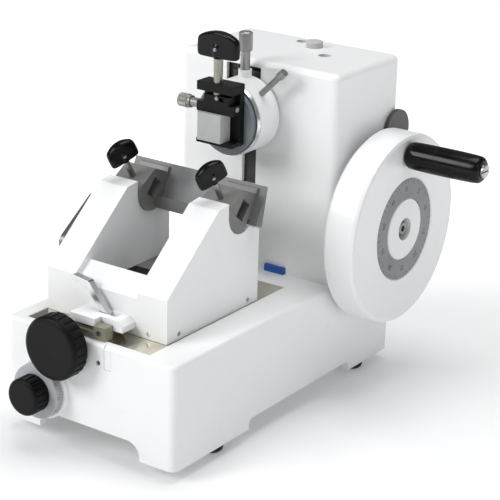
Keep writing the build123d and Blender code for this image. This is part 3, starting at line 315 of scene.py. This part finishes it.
# A turned piece: each row of a grid goes round one point of the outline (along, radius).
# Ribs are cut into the rim between two places along it.
turned, sizes = plan("turned", Steps=96, Ribs=0, Rib_depth=0.0, Rib_start=0.0, Rib_end=1.0,
                     Rib_radius=0.0, Groove=0.3)
count = sizes["Geometry"].add("GeometryNodeAttributeDomainSize", {"component": "MESH"},
                              {"Geometry": sizes["Geometry"]})
grid = count.add("GeometryNodeMeshGrid", {}, {
    "Size X": sizes["Steps"], "Size Y": count - 1,
    "Vertices X": sizes["Steps"] + 1, "Vertices Y": count})
spot = grid.add("GeometryNodeInputPosition", {}, {})
spot_x = spot.add("ShaderNodeSeparateXYZ", {}, {0: spot})
spot_y = spot.add("ShaderNodeSeparateXYZ", {}, {0: spot}, out=1)
angle = (spot_x / sizes["Steps"] + 0.5) * (2 * math.pi)
row = spot_y + (count - 1) * 0.5
point = spot.add("GeometryNodeSampleIndex", {"data_type": "FLOAT_VECTOR", "domain": "POINT"}, {
    "Geometry": sizes["Geometry"], "Value": spot, "Index": row.reckon("ROUND", row)})
along = point.add("ShaderNodeSeparateXYZ", {}, {0: point})
radius = point.add("ShaderNodeSeparateXYZ", {}, {0: point}, out=1)
wave = angle * sizes["Ribs"]
groove = wave.reckon("COSINE", wave).step(sizes["Groove"], 1.0)
past_start = along.reckon("GREATER_THAN", along, sizes["Rib_start"])
before_end = along.reckon("LESS_THAN", along, sizes["Rib_end"])
on_rim = radius.reckon("GREATER_THAN", radius, sizes["Rib_radius"])
radius = radius - groove * (past_start * before_end * on_rim) * sizes["Rib_depth"]
shaped = grid.add("GeometryNodeSetPosition", {}, {
    "Geometry": grid, "Position": grid.add("ShaderNodeCombineXYZ", {}, {
        0: along, 1: radius * angle.reckon("COSINE", angle),
        2: radius * angle.reckon("SINE", angle)})})
sealed = shaped.add("GeometryNodeMergeByDistance", {}, {"Geometry": shaped, "Distance": 2e-6})
close_plan(turned, sizes, sealed)

swap_xy = Matrix(((0, 1, 0, 0), (1, 0, 0, 0), (0, 0, 1, 0), (0, 0, 0, 1)))
swap_xz = Matrix(((0, 0, 1, 0), (0, 1, 0, 0), (1, 0, 0, 0), (0, 0, 0, 1)))


def lathe(name, material, axis, at, outline, **ribs):
    """A turned piece on its axis; outline gives (place along the axis, radius), in metres."""
    place = {
        "x": Matrix.Translation((0, at[0], at[1])),
        "y": Matrix.Translation((at[0], 0, at[1])) @ swap_xy,
        "z": Matrix.Translation((at[0], at[1], 0)) @ swap_xz,
    }[axis]
    return make_from(turned, name, material, outline, place, **ribs)


def joined(name, pieces):
    """Several plain objects made one."""
    whole = pieces[0]
    with bpy.context.temp_override(active_object=whole, selected_editable_objects=pieces):
        bpy.ops.object.join()
    whole.name = name
    whole.data.name = name
    return whole


def box_of(node):
    """The lowest and highest corner of a CAD node, and its middle."""
    low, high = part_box(node)
    return low, high, (low + high) / 2


def fit(piece, node, body):
    """The piece stands for a CAD node, which it hides, and moves with its body."""
    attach(piece, body)
    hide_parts(node)


foot_rubber, shader, place = begin_finish("foot_rubber")
grain = place.noise(900, 2)
dust = place.noise(60, 4).step(0.45, 0.75)
finish_with(shader, dust.blend(colour(22, 22, 22), colour(58, 57, 55)), dust * 0.15 + 0.62,
            grain, 0.0001)
low, high, at = box_of("rubber_feet")
foot_r = 0.0125
groove_r = 0.0119
foot_outline = softened([
    (0.0, 0.0), (0.0, 0.0100), (0.0015, 0.0118), (0.0046, foot_r), (0.0052, groove_r),
    (0.0060, groove_r), (0.0066, foot_r), (0.0100, 0.0122), (0.0119, 0.0102), (0.0119, 0.0)],
    0.0006)
feet = [lathe("foot", foot_rubber, "z", (x, y), foot_outline, Steps=64)
        for x in (low.x + foot_r, high.x - foot_r) for y in (low.y + foot_r, high.y - foot_r)]
fit(joined("rubber_foot_pads", feet), "rubber_feet", "frame")


# Bed plate, dovetail rail, stop and screws.
# The bed plate is ground and polished steel.  The rail and its stop are plain ground steel
# with an oily, slightly bronze tone, and all are held by plain steel screws.
def steel(name, light, dark, roughness, grain=(1, 1, 1), depth=0.00002, metallic=1.0):
    """Bare metal; its grinding marks run along the axis whose number in grain is small."""
    material, shader, place = begin_finish(name, metallic=metallic)
    marks = place.noise(700, 2, grain)
    smear = place.noise(22, 4).step(0.35, 0.75)
    finish_with(shader, (smear * 0.6 + marks * 0.4).blend(light, dark),
                smear * 0.14 + marks * 0.1 + roughness, marks, depth)
    return material


ground_along_x = (0.05, 1, 1)
ground_along_y = (1, 0.04, 1)
dress(steel("bed_steel", colour(226, 222, 208), colour(196, 191, 174), 0.10, ground_along_y,
            0.000004), "bed_plate")
dress(steel("rail_steel", colour(158, 154, 138), colour(128, 124, 110), 0.30, ground_along_y,
            metallic=0.25), "dovetail_rail", "rail_stop")
screw_steel = steel("screw_steel", colour(178, 178, 174), colour(120, 119, 114), 0.25)
dress(screw_steel, "base_screws", "knife_base_screws", "clamp_screws", "jaw_screws", "hub_screw",
      "lever_pin", "lock_stud")


# Housing trim.
# A blue plastic tab closes the housing's seam, and a grey plastic cap is pressed into the
# filler hole in its top.
def moulded(name, tint, shade, gloss, coat=0.0, depth=0.00002, shine=0.5):
    """Moulded plastic: a fine skin and finger marks that dull it in places."""
    material, shader, place = begin_finish(name, coat=coat)
    shader.inputs["Specular IOR Level"].default_value = shine
    marks = place.noise(34, 5).step(0.45, 0.72)
    skin = place.noise(1300, 2)
    finish_with(shader, (marks * 0.5 + skin * 0.3).blend(tint, shade),
                marks * 0.12 + skin * 0.05 + gloss, skin, depth)
    return material


dress(moulded("tab_blue", colour(26, 92, 178), colour(18, 70, 150), 0.4), "seam_tab")
dress(moulded("cap_grey", colour(196, 197, 197), colour(176, 177, 177), 0.45), "oil_cap")


# Drive inside the housing.
# Column, pedestal and carriage are grey cast iron, the shafts and screws are ground steel,
# the slider block and the feed nut are bronze, and the gibs are bronze darkened by painted shade.
dress(steel("cast_grey", colour(92, 93, 92), colour(62, 63, 62), 0.5, metallic=0.6, depth=0.0001),
      "guide_column", "bearing_pedestal", "vertical_carriage", "crank_disc", "yoke_plate")
dress(steel("inner_steel", colour(186, 187, 186), colour(150, 150, 148), 0.2),
      "main_shaft", "feed_ram", "feed_screw", "ratchet_wheel", "coarse_shaft",
      "thickness_shaft", "shaft_bearings", "handle_spindle")
dress(steel("bronze", colour(196, 154, 92), colour(150, 110, 62), 0.3),
      "slider_block", "feed_nut")
# The gibs' bronze is darkened with painted shade, for the dim inside of the housing.
dress(steel("gib_bronze_painted_shade", colour(84, 74, 58), colour(60, 53, 42), 0.5, metallic=0.5),
      "gib_strips")


# Handwheel, its dial and grip.
# A heavy enamelled wheel.  A grey printed ring is let into its face around the hub, with a
# scale of fifty parts.  The grip is a polished black barrel that turns on its spindle.
dress(moulded("dial_grey", colour(140, 143, 145), colour(130, 133, 135), 0.42, depth=0.000004),
      "wheel_dial")

# A scale: strokes round a circle, in its plane, or along its axis where Axial is 1.
scale, sizes = plan("scale_marks", Marks=50, Long_every=5, Radius=0.05, Reach=0.003,
                    Long_reach=0.005, Width=0.0004, Thick=0.0001, Axial=0)
ring = sizes["Marks"].add("GeometryNodeMeshLine", {"mode": "OFFSET"}, {
    "Count": sizes["Marks"], "Start Location": (0, 0, 0), "Offset": (0, 0, 0)})
number = ring.add("GeometryNodeInputIndex", {}, {})
angle = number / sizes["Marks"] * (2 * math.pi)
since_long = number.reckon("MODULO", number, sizes["Long_every"])
is_long = since_long.reckon("LESS_THAN", since_long, 0.5)
length = sizes["Reach"] + is_long * (sizes["Long_reach"] - sizes["Reach"])
flat = 1 - sizes["Axial"]
centre_r = sizes["Radius"] - flat * length * 0.5
placed = ring.add("GeometryNodeSetPosition", {}, {
    "Geometry": ring, "Position": ring.add("ShaderNodeCombineXYZ", {}, {
        0: sizes["Axial"] * length * 0.5, 1: centre_r * angle.reckon("COSINE", angle),
        2: centre_r * angle.reckon("SINE", angle)})})
stroke_box = ring.add("GeometryNodeMeshCube", {}, {"Size": (1, 1, 1)})
strokes = placed.add("GeometryNodeInstanceOnPoints", {}, {
    "Points": placed, "Instance": stroke_box,
    "Rotation": placed.add("ShaderNodeCombineXYZ", {}, {0: angle}),
    "Scale": placed.add("ShaderNodeCombineXYZ", {}, {
        0: flat * sizes["Thick"] + sizes["Axial"] * length,
        1: flat * length + sizes["Axial"] * sizes["Thick"], 2: sizes["Width"]})})
close_plan(scale, sizes, strokes)


def numeral(text, height, material, place):
    """A plain numeral, its middle at the place's origin, as a thin solid."""
    ink_t = 0.00004
    words = bpy.data.curves.new("numeral", "FONT")
    words.body = text
    words.size = height
    words.align_x = "CENTER"
    words.align_y = "CENTER"
    words.extrude = ink_t
    made = put("numeral", words)
    mesh = settled(made)
    bpy.data.objects.remove(made)
    mesh.transform(place)
    mesh.materials.clear()
    mesh.materials.append(material)
    return put("numeral", mesh)


def numbered(name, strokes, count, height, place_of, body):
    """A scale's strokes and its numerals, 0, 5, 10 and so on, as one piece on a body."""
    pieces = [strokes] + [
        numeral(str(step * 5), height, ink, place_of(2 * math.pi * step / count))
        for step in range(count)]
    whole = joined(name, pieces)
    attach(whole, body)


ink = moulded("ink_black", colour(38, 40, 44), colour(58, 60, 64), 0.5)
low, high, wheel_at = box_of("wheel_dial")
dial_face = Matrix.Translation((high.x, wheel_at.y, wheel_at.z))
dial_r = (high.z - low.z) / 2
stroke_margin = 0.0008
number_r = dial_r - 0.0098
facing_out = Matrix(((0, 0, 1), (1, 0, 0), (0, 1, 0))).to_4x4()
numbered("dial_scale",
         make_from(scale, "marks", ink, place=dial_face, Marks=50, Radius=dial_r - stroke_margin,
                   Reach=0.0028, Long_reach=0.0046, Width=0.00045),
         10, 0.0072,
         lambda turn: dial_face @ Matrix.Rotation(-turn, 4, "X")
         @ Matrix.Translation((0, 0, number_r)) @ facing_out,
         "wheel")

black_gloss = moulded("black_gloss", colour(9, 9, 9), colour(16, 16, 16), 0.15, coat=0.12,
                      depth=0.000004, shine=0.15)
low, high, grip_at = box_of("handle_grip")
grip_r = (high.z - low.z) / 2
grip_bore = 0.0052
grip_l = high.x - low.x
end_l = 0.003
waist, belly = 0.955, 0.045
outline = [(low.x, grip_bore), (low.x, grip_r * 0.78), (low.x + end_l, grip_r * 0.94)]
outline += [(low.x + grip_l * share, grip_r * (waist + belly * math.sin(math.pi * share)))
            for share in (0.12, 0.25, 0.38, 0.5, 0.62, 0.75, 0.88)]
outline += [(high.x - end_l, grip_r * 0.93), (high.x, grip_r * 0.74), (high.x, grip_bore)]
grip = lathe("grip_barrel", black_gloss, "x", (grip_at.y, grip_at.z), softened(outline, 0.002),
             Steps=96)
fit(grip, "handle_grip", "grip")
dress(enamel("lock_grey", colour(62, 62, 61), colour(50, 50, 49), 0.4), "wheel_lock_lever")


# Coarse feed knob, section thickness knob and its drum.
# Moulded black knobs with broad ribs.  The drum behind the small one is anodised and
# carries the thickness scale; its zero stands against the enamelled index ring.
knob_black = moulded("knob_black", colour(12, 12, 13), colour(24, 24, 25), 0.38, depth=0.00003,
                     shine=0.15)
rim_cover = 0.002
low, high, at = box_of("coarse_knob")
rim = (high.z - low.z) / 2
hub_front = high.y - 0.0050
outline = finely(softened([
    (low.y + 0.0004, 0.0), (low.y, rim - 0.0042), (low.y + 0.0010, rim - 0.0016),
    (low.y + 0.0034, rim), (high.y - 0.0056, rim), (hub_front, rim - 0.0010),
    (hub_front, 0.0105), (high.y, 0.0100), (high.y, 0.0)], 0.0009), 0.0016)
coarse = lathe("coarse_feed_knob", knob_black, "y", (at.x, at.z), outline, Steps=288, Ribs=24,
               Rib_depth=0.0013, Rib_start=low.y + 0.0036, Rib_end=high.y - 0.0052,
               Rib_radius=rim - rim_cover, Groove=0.25)
fit(coarse, "coarse_knob", "coarse_feed")

low, high, at = box_of("thickness_knob")
rim = (high.z - low.z) / 2
outline = finely(softened([
    (low.y, 0.0), (low.y, rim - 0.0030), (low.y + 0.0008, rim - 0.0010), (low.y + 0.0024, rim),
    (high.y - 0.0006, rim), (high.y, rim - 0.0006), (high.y, 0.0)], 0.0007), 0.0014)
thick = lathe("thickness_grip", knob_black, "y", (at.x, at.z), outline, Steps=216, Ribs=18,
              Rib_depth=0.0011, Rib_start=low.y + 0.0030, Rib_end=high.y - 0.0010,
              Rib_radius=rim - rim_cover, Groove=0.2)
fit(thick, "thickness_knob", "thickness_setting")

dress(steel("drum_grey", colour(188, 190, 193), colour(170, 172, 175), 0.45, ground_along_x,
            metallic=0.1), "thickness_drum")
knob_at = at
low, high, at = box_of("thickness_drum")
drum_r = (high.z - low.z) / 2
strokes_at = Matrix.Translation((knob_at.x, high.y - 0.0040, knob_at.z))
numbers_at = Matrix.Translation((knob_at.x, high.y - 0.0062, knob_at.z))
number_r = drum_r + 0.00002
numbered("drum_scale",
         make_from(scale, "marks", ink, place=strokes_at @ swap_xy, Marks=60, Radius=drum_r,
                   Reach=0.0022, Long_reach=0.0036, Width=0.0004, Thick=0.00012, Axial=1),
         12, 0.0036,
         lambda turn: numbers_at @ Matrix.Rotation(turn, 4, "Y")
         @ Matrix.Translation((0, 0, number_r)),
         "thickness_setting")


# Specimen head.
# A white barrel closed by a tilting disc of grey anodised metal inside a polished ring.
# Two knurled screws, one on top and one at the side, tilt the disc and lock it.
dress(steel("disc_grey", colour(132, 138, 144), colour(114, 120, 125), 0.40, metallic=0.1),
      "swivel_disc")
dress(steel("ring_chrome", colour(232, 233, 235), colour(214, 215, 218), 0.16, depth=0.000003),
      "bevel_ring")
dress(moulded("clamp_black", colour(12, 12, 12), colour(20, 20, 20), 0.42, shine=0.2),
      "clamp_frame", "upper_jaw")
dress(moulded("block_grey", colour(188, 189, 189), colour(174, 175, 175), 0.5), "specimen_block")
dress(steel("spindle_steel", colour(166, 164, 155), colour(126, 124, 115), 0.22), "clamp_spindle")
knurl_grey = steel("knurl_grey", colour(166, 166, 163), colour(128, 128, 125), 0.32,
                   metallic=0.75)
dress(knurl_grey, "head_lock_screw")
knurl_pitch = 0.00034
shank_r = 0.0030


def knurled(name, axis, at, outline, start, end, head_r):
    """A turned steel screw whose head is knurled between two places along it."""
    return lathe(name, knurl_grey, axis, at, outline, Steps=216, Ribs=36, Rib_depth=knurl_pitch,
                 Rib_start=start, Rib_end=end, Rib_radius=head_r - 0.001, Groove=-0.3)


low, high, at = box_of("tilt_screw")
head_r = (high.x - low.x) / 2
head_low = high.z - 0.019
collar_low = high.z - 0.0370
collar_r = 0.0048
dish = high.z - 0.0004
outline = [(low.z, 0.0), (low.z, shank_r), (high.z - 0.0375, shank_r), (collar_low, collar_r),
           (head_low, collar_r), (head_low, head_r - 0.0006), (head_low + 0.0005, head_r)]
outline += finely([(head_low + 0.0010, head_r), (high.z - 0.0016, head_r)], knurl_pitch)
outline += [(high.z - 0.0006, head_r - 0.0007), (high.z, head_r - 0.0018),
            (dish, head_r - 0.0026), (dish, 0.0)]
fit(knurled("tilt_thumbscrew", "z", (at.x, at.y), outline, head_low + 0.0010, high.z - 0.0018,
            head_r), "tilt_screw", "head_tilt_screw")

low, high, at = box_of("side_screw")
head_r = (high.z - low.z) / 2
head_end = low.x + 0.0130
neck_at = low.x + 0.015
neck_end = high.x - 0.0087
neck_r = 0.0046
dish = low.x + 0.0004
outline = [(dish, 0.0), (dish, head_r - 0.0030), (low.x, head_r - 0.0020),
           (low.x + 0.0010, head_r - 0.0003)]
outline += finely([(low.x + 0.0014, head_r), (head_end - 0.0014, head_r)], knurl_pitch)
outline += [(head_end - 0.0008, head_r - 0.0006), (head_end, head_r - 0.0009),
            (neck_at, head_r - 0.0009), (neck_at, neck_r), (neck_end, neck_r),
            (neck_end, shank_r), (high.x, shank_r), (high.x, 0.0)]
fit(knurled("side_thumbscrew", "x", (at.y, at.z), outline, low.x + 0.0014, head_end - 0.0015,
            head_r), "side_screw", "jaw_side_screw")


# Wing knobs.
# Glossy black moulded wings with a crowned top, each pinned to its screw by a steel
# cross pin whose ends show on both faces.
def wing(name, width, height, thick):
    """A wing that stands on z = 0, wide along X: a rounded slab, thickest at its middle."""
    outline = [(-0.47, 0.0), (-0.5, 0.10), (-0.5, 0.60), (-0.47, 0.76), (-0.25, 0.93),
               (0.0, 1.0), (0.25, 0.93), (0.47, 0.76), (0.5, 0.60), (0.5, 0.10), (0.47, 0.0),
               (0.2, 0.0), (-0.2, 0.0)]
    layers = ((-0.5, 0.80), (-0.42, 0.97), (0.0, 1.0), (0.42, 0.97), (0.5, 0.80))
    thinner_at_tips = 0.22
    mesh = bpy.data.meshes.new(name)
    shape = bmesh.new()
    rings = []
    for side, share in layers:
        ring = []
        for x, z in outline:
            bulge = 1 - thinner_at_tips * (2 * abs(x)) ** 2
            ring.append(shape.verts.new((x * width * share, side * thick * bulge,
                                         height * (0.5 + (z - 0.5) * share))))
        rings.append(ring)
    for lower, upper in zip(rings, rings[1:]):
        for i in range(len(outline)):
            j = (i + 1) % len(outline)
            shape.faces.new((lower[i], lower[j], upper[j], upper[i]))
    for ring in (rings[0], rings[-1]):
        shape.faces.new(ring)
    bmesh.ops.recalc_face_normals(shape, faces=shape.faces)
    shape.to_mesh(mesh)
    shape.free()
    mesh.materials.append(black_gloss)
    piece = put(name, mesh)
    rounding = piece.modifiers.new("rounding", "SUBSURF")
    rounding.levels = 3
    rounding.render_levels = 3
    made = settled(piece)
    piece.modifiers.clear()
    piece.data = made
    made.shade_smooth()
    return piece


def wing_knob(name, width, height, thick, place, stem=None):
    """A wing on its hub, the cross pin through it, and its stem below, put in place.
    stem gives the stem's lower end and its radius."""
    sunk = 0.0004
    stem_top = 0.001
    hub_outline = softened([
        (-sunk, 0.0), (-sunk, thick * 0.42), (height * 0.08, thick * 0.52),
        (height * 0.45, thick * 0.56), (height * 0.66, thick * 0.30), (height * 0.70, 0.0)], 0.001)
    pin_r = height * 0.075
    pin_out = thick * 0.62
    pin_outline = softened([
        (-pin_out, 0.0), (-pin_out + pin_r * 0.2, pin_r * 0.8), (-pin_out + pin_r * 0.6, pin_r),
        (pin_out - pin_r * 0.6, pin_r), (pin_out - pin_r * 0.2, pin_r * 0.8), (pin_out, 0.0)],
        0.0003)
    parts = [wing(name, width, height, thick),
             lathe("hub", black_gloss, "z", (0, 0), hub_outline, Steps=64),
             lathe("pin", screw_steel, "y", (0, height * 0.34), pin_outline, Steps=32)]
    if stem:
        stem_low, stem_r = stem
        parts.append(lathe("stem", screw_steel, "z", (0, 0), [
            (stem_low, 0.0), (stem_low, stem_r), (stem_top, stem_r), (stem_top, 0.0)], Steps=48))
    whole = joined(name, parts)
    whole.data.transform(place)
    return whole


low, high, at = box_of("clamp_wing_knob")
knob = wing_knob("clamp_wing", high.x - low.x, high.z - low.z, 0.012,
                 Matrix.Translation((at.x, at.y, low.z)))
fit(knob, "clamp_wing_knob", "jaw_spindle")
joints = {joint["name"]: joint for joint in frame["record"]["behaviour"]["joints"]}
wing_turn = math.radians(63)
wing_lift = 0.0202
stem_end = -0.0252
for side in ("left", "right"):
    hinge = joints["blade_screw_" + side + "_turn"]
    normal = Vector(hinge["axis"])
    across = Vector((1, 0, 0))
    seat = Matrix((across, normal.cross(across), normal)).transposed().to_4x4()
    place = (Matrix.Translation(hinge["pos_m"]) @ seat @ Matrix.Rotation(wing_turn, 4, "Z")
             @ Matrix.Translation((0, 0, wing_lift)))
    knob = wing_knob("blade_wing_" + side, 0.031, 0.0245, 0.009, place, (stem_end, shank_r))
    fit(knob, "knife_wing_screw_" + side, "blade_screw_" + side)


# Knife base, its clamp lever and the blade holder.
# The saddle is an enamelled casting.  A bent strip lever, chromium plated, clamps it to the
# rail.  The holder and its plates are ground and blued, and the blade is honed steel.
holder_grey = steel("holder_grey", colour(134, 133, 132), colour(110, 109, 108), 0.38,
                    ground_along_x, metallic=0.2)
dress(holder_grey, "knife_holder", "pressure_plate")
honed_along_y = (1, 0.1, 1)
dress(steel("blade_steel", colour(128, 129, 130), colour(110, 111, 112), 0.42, honed_along_y,
            metallic=0.1), "knife")
dress(steel("lever_grey", colour(150, 149, 143), colour(112, 111, 106), 0.3), "tilt_lock_lever")
dress(steel("lever_chrome", colour(225, 226, 228), colour(190, 191, 193), 0.08, depth=0.000003),
      "base_clamp_lever")


# Plate and shadow strip on the saddle's floor.
# A thin ground plate lies on the floor between the cheeks, and a black strip of painted shadow
# fills the gap between it and the lip.  Both ride with the saddle.
def sheet(name, material, x, y, z):
    """A flat piece with slightly broken edges."""
    broken = 0.0003
    mesh = bpy.data.meshes.new(name)
    shape = bmesh.new()
    bmesh.ops.create_cube(shape, size=1.0)
    for corner in shape.verts:
        corner.co = [start + (share + 0.5) * (end - start)
                     for share, (start, end) in zip(corner.co, (x, y, z))]
    bmesh.ops.bevel(shape, geom=shape.edges, offset=broken, segments=2, affect="EDGES")
    shape.to_mesh(mesh)
    shape.free()
    mesh.materials.append(material)
    return put(name, mesh)


# A black sheet of painted shadow, for the dark gap between the floor plate and the lip.
painted_shadow_black = moulded("painted_shadow_black", colour(20, 20, 20), colour(32, 32, 32), 0.6, shine=0.2)
low, high, at = box_of("knife_base_casting")
cheek_in = 0.0352
floor_x = (low.x + cheek_in, high.x - cheek_in)
floor_z = low.z + 0.0253
for name, material, slot, y, thick in (
    ("floor_plate", holder_grey, "holder_grey", (low.y + 0.087, high.y - 0.004), 0.0010),
    ("painted_shadow_strip", painted_shadow_black, "foot_rubber", (low.y + 0.0244, low.y + 0.0868), 0.0008),
):
    piece = sheet(name, material, floor_x, y, (floor_z, floor_z + thick))
    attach(piece, "knife_carriage")
